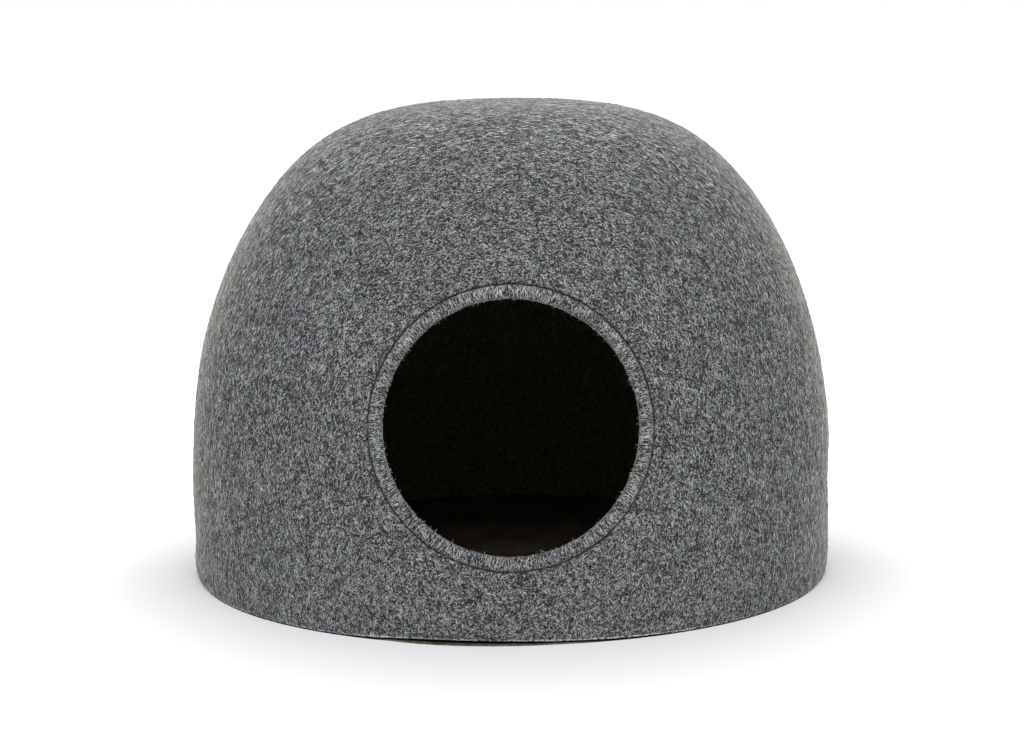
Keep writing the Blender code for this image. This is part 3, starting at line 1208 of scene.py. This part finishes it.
def lip_of_rim(middles, normals, slots):
    """Keep the part of the rim that turns into the opening."""
    flat = middles - np.array(ENTRANCE_MIDDLE)
    axis = np.array(entrance_out)
    off_axis = np.linalg.norm(np.cross(flat, axis), axis=1)
    facing = normals @ axis
    least, most = LIP_FACING
    return (off_axis < RIM_OPENING + LIP_WIDTH) * (facing > least) * (facing < most)


def hem_line(middles, normals, slots):
    return (slots == HEM_EDGE) * (normals[:, 2] > LEAST_UP_AT_HEM)


print("lying fibres start", OFF_FLOOR, "m above the floor")

# %% Sprinkle the fibres
LIGHT_LYING = 6800
DARK_LYING = 4200
BOLD_LYING = 260  # the few long coarse fibres that catch the eye
RIM_LYING = 260
HOLE_HAIRS = 560
HEM_HAIRS = 420
LYING_SIZE = {"length": 0.0055, "rise": 0.00035, "curl": 0.0007}
BOLD_SIZE = {"length": 0.0080, "rise": 0.00045, "curl": 0.0014}
RIM_SIZE = {"length": 0.0040, "rise": 0.00030, "curl": 0.0005}
HOLE_HAIR_SIZE = {"length": 0.0040, "curl": 0.0012}
HEM_HAIR_SIZE = {"length": 0.0018, "curl": 0.0005}
FINE_FIBRE = (0.00013, 0.4)  # radius, and what is left of it at the tips
BOLD_FIBRE = (0.00021, 0.5)
FIBRE_SEED = 11
FLOOR_CLEAR = 0.0003  # the lowest that a fibre's middle line may lie


def sprinkle():
    rng = np.random.default_rng(FIBRE_SEED)
    on_dome = scatter(rng, dome.data, LIGHT_LYING + DARK_LYING, outer_felt)
    bold_spots = scatter(rng, dome.data, BOLD_LYING, outer_felt)
    on_rim = scatter(rng, ring.data, RIM_LYING, rim_face)
    lying = lying_fibres(rng, *on_dome, **LYING_SIZE)
    bold = lying_fibres(rng, *bold_spots, **BOLD_SIZE)
    crossing = lying_fibres(rng, *on_rim, **RIM_SIZE)
    lip = scatter(rng, ring.data, HOLE_HAIRS, lip_of_rim)
    hem = scatter(rng, dome.data, HEM_HAIRS, hem_line)
    over_hole, over_hole_up = loose_hairs(rng, *lip, **HOLE_HAIR_SIZE)
    off_hem, off_hem_up = loose_hairs(rng, *hem, **HEM_HAIR_SIZE)

    lines = (lying[:LIGHT_LYING], crossing, bold, over_hole, off_hem)
    ups = (on_dome[1][:LIGHT_LYING], on_rim[1], bold_spots[1], over_hole_up, off_hem_up)
    radii = (
        fibre_radii(rng, LIGHT_LYING + RIM_LYING, *FINE_FIBRE),
        fibre_radii(rng, BOLD_LYING, *BOLD_FIBRE),
        fibre_radii(rng, HOLE_HAIRS + HEM_HAIRS, *FINE_FIBRE),
    )
    light, light_up = np.concatenate(lines), np.concatenate(ups)
    dark, dark_up = lying[LIGHT_LYING:], on_dome[1][LIGHT_LYING:]
    for fibres in (light, dark):
        fibres[:, :, 2] = np.maximum(fibres[:, :, 2], FLOOR_CLEAR)
    light_mesh = tube_mesh("light_fibres", light, light_up, np.concatenate(radii))
    dark_mesh = tube_mesh("dark_fibres", dark, dark_up, fibre_radii(rng, DARK_LYING, *FINE_FIBRE))
    return light_mesh, dark_mesh


def keep_fibres(mesh, material):
    mesh.materials.append(material)
    piece = bpy.data.objects.new(mesh.name, mesh)
    bpy.context.scene.collection.objects.link(piece)
    return piece


light_mesh, dark_mesh = sprinkle()
light_fibres = keep_fibres(light_mesh, light_wool)
dark_fibres = keep_fibres(dark_mesh, dark_wool)
for piece in (light_fibres, dark_fibres):
    piece.data.calc_loop_triangles()
    print(piece.name, len(piece.data.loop_triangles), "triangles")

# %% [markdown]
# ## Floor
#
# A wide white floor, which isn't part of the cave. It gives off some light of its own and throws some
# back. Near the dome the glow is weak, which paints a soft grey shadow round the foot, weaker still
# right beside the dome. Further out it grows until the floor burns out to the same white as the world
# behind it, without a horizon. Under the dome the floor's colour is a painted shadow, so that no light
# leaks out below the hem.

# %% Floor
FLOOR_RADIUS = 30.0
FLOOR_CORNERS = 64
FLOOR_FINISH = {"Roughness": 0.9, "Specular IOR Level": 0.1}
FLOOR_WHITE = (0.42, 0.422, 0.43, 1.0)
FLOOR_PAINTED_SHADOW = (0.02, 0.02, 0.02, 1.0)
FOOT = true_radius(0) - 0.0004  # inside this radius the floor lies under the dome, and has a painted shadow
FOOT_GLOW = 0.36
GLOW_FROM = 0.29
GLOW_TO = 0.56
GLOW = 0.30
GLOW_STRETCH = (1.0, 0.80, 1.0)  # the painted shadow reaches further forward than aside
SIDE_PAINTED_SHADE = 0.13  # painted shade: the glow is weaker right beside the dome
SIDE_NARROWING = 10.0  # the higher, the narrower these two places are
SIDE_FROM = 0.30
SIDE_TO = 0.42


def make_floor():
    bm = bmesh.new()
    bmesh.ops.create_circle(bm, cap_ends=True, radius=FLOOR_RADIUS, segments=FLOOR_CORNERS)
    material, tree, shader, position = new_material("white_floor")
    stretched = vector_sum(tree, "MULTIPLY", a=position, b=GLOW_STRETCH).outputs[0]
    distance = vector_sum(tree, "LENGTH", a=stretched).outputs["Value"]
    far_glow = ramp(tree, distance, GLOW_FROM, GLOW_TO, FOOT_GLOW, GLOW + FOOT_GLOW)
    from_middle = vector_sum(tree, "LENGTH", a=position).outputs["Value"]
    outside = sum_up(tree, "GREATER_THAN", from_middle, FOOT)
    unturned = vector_sum(tree, "NORMALIZE", a=position).outputs[0]
    aside = add_node(tree, "ShaderNodeSeparateXYZ", {"Vector": unturned}).outputs["X"]
    sideways = sum_up(tree, "POWER", sum_up(tree, "ABSOLUTE", aside), SIDE_NARROWING)
    near = ramp(tree, from_middle, SIDE_FROM, SIDE_TO, SIDE_PAINTED_SHADE, 0.0)
    side_glow = sum_up(tree, "SUBTRACT", far_glow, sum_up(tree, "MULTIPLY", sideways, near))
    # the base colour paints a shadow under the dome, and the glow, weak near the foot, paints a soft
    # shadow round it
    finish = {
        "Base Color": mix_colours(tree, outside, FLOOR_PAINTED_SHADOW, FLOOR_WHITE),
        "Emission Color": (1.0, 1.0, 1.0, 1.0),
        "Emission Strength": sum_up(tree, "MULTIPLY", side_glow, outside),
        **FLOOR_FINISH,
    }
    fill(tree, shader, finish)
    return finish_mesh(bm, "floor", (material,))


floor = make_floor()
print("floor:", FLOOR_RADIUS, "m")

# %% [markdown]
# ## Which piece stands for which solid
#
# The cave has no moving part, so every piece rides on the one body. The dome is cut from a sheet of
# felt: a round blank that is steamed and pulled over a form.

for piece, node, slot_name in (
    (dome, "felt_dome", "dome_felt"),
    (ring, "entrance_ring", "rim_felt"),
    (board, "base_board", "brown_board"),
):
    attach(piece, "root")
    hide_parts(node)

for fibres in (light_fibres, dark_fibres):
    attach(fibres, "root")

# %% The end
bpy.context.view_layer.update()
